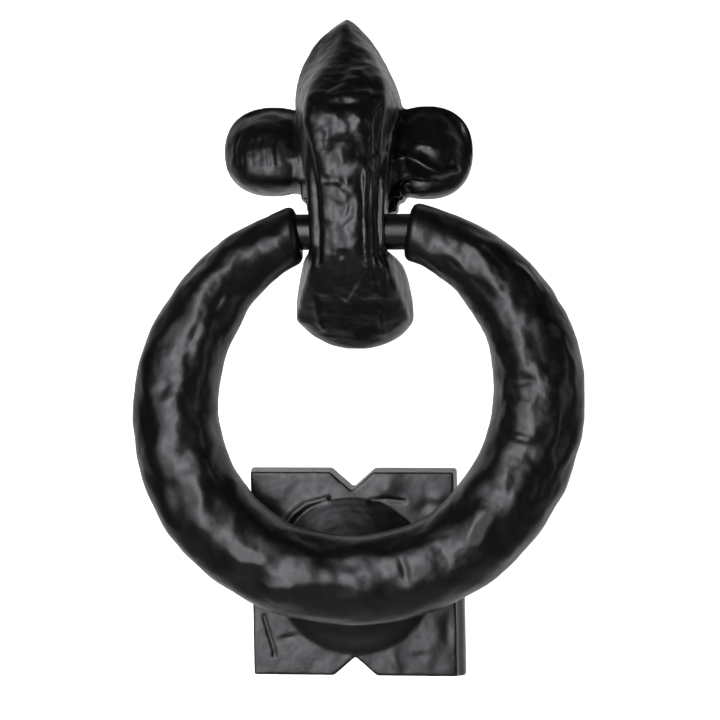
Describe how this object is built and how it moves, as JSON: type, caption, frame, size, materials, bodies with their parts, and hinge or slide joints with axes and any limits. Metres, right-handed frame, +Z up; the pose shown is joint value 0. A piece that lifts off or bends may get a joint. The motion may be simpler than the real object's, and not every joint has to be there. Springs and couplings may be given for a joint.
{
  "type": "door knocker",
  "caption": "Black cast-iron ring door knocker on a fleur-de-lis bracket, with a separate square strike plate and through-door studs.",
  "frame": {"origin": "where the axis of the upper stud meets the door's outer face", "axes": "+Z up, +X to the right as seen from outside, -Y out of the door towards the visitor, +Y into the door along the studs"},
  "size_m": [0.1196, 0.093, 0.1793],
  "materials": {
    "coated_iron": "satin black powder coat",
    "coated_steel": "satin black powder coat",
    "zinc_steel": "bright zinc plate"
  },
  "bodies": {
    "door_side": {"fleur_bracket": "coated_iron", "keeper_strap": "zinc_steel", "keeper_screw_upper": "zinc_steel", "keeper_screw_lower": "zinc_steel", "strike_plate": "coated_iron", "upper_stud": "zinc_steel", "lower_stud": "zinc_steel", "upper_washer": "zinc_steel", "lower_washer": "zinc_steel", "upper_nut": "zinc_steel", "lower_nut": "zinc_steel"},
    "ring": {"knocker_ring": "coated_iron", "pivot_pin": "coated_steel"}
  },
  "joints": [
    {"name": "ring_swing", "type": "hinge", "parent": "door_side", "child": "ring", "pos_m": [0, -0.022, -0.0225], "axis": [-1, 0, 0], "range_deg": [0, 184]}
  ]
}
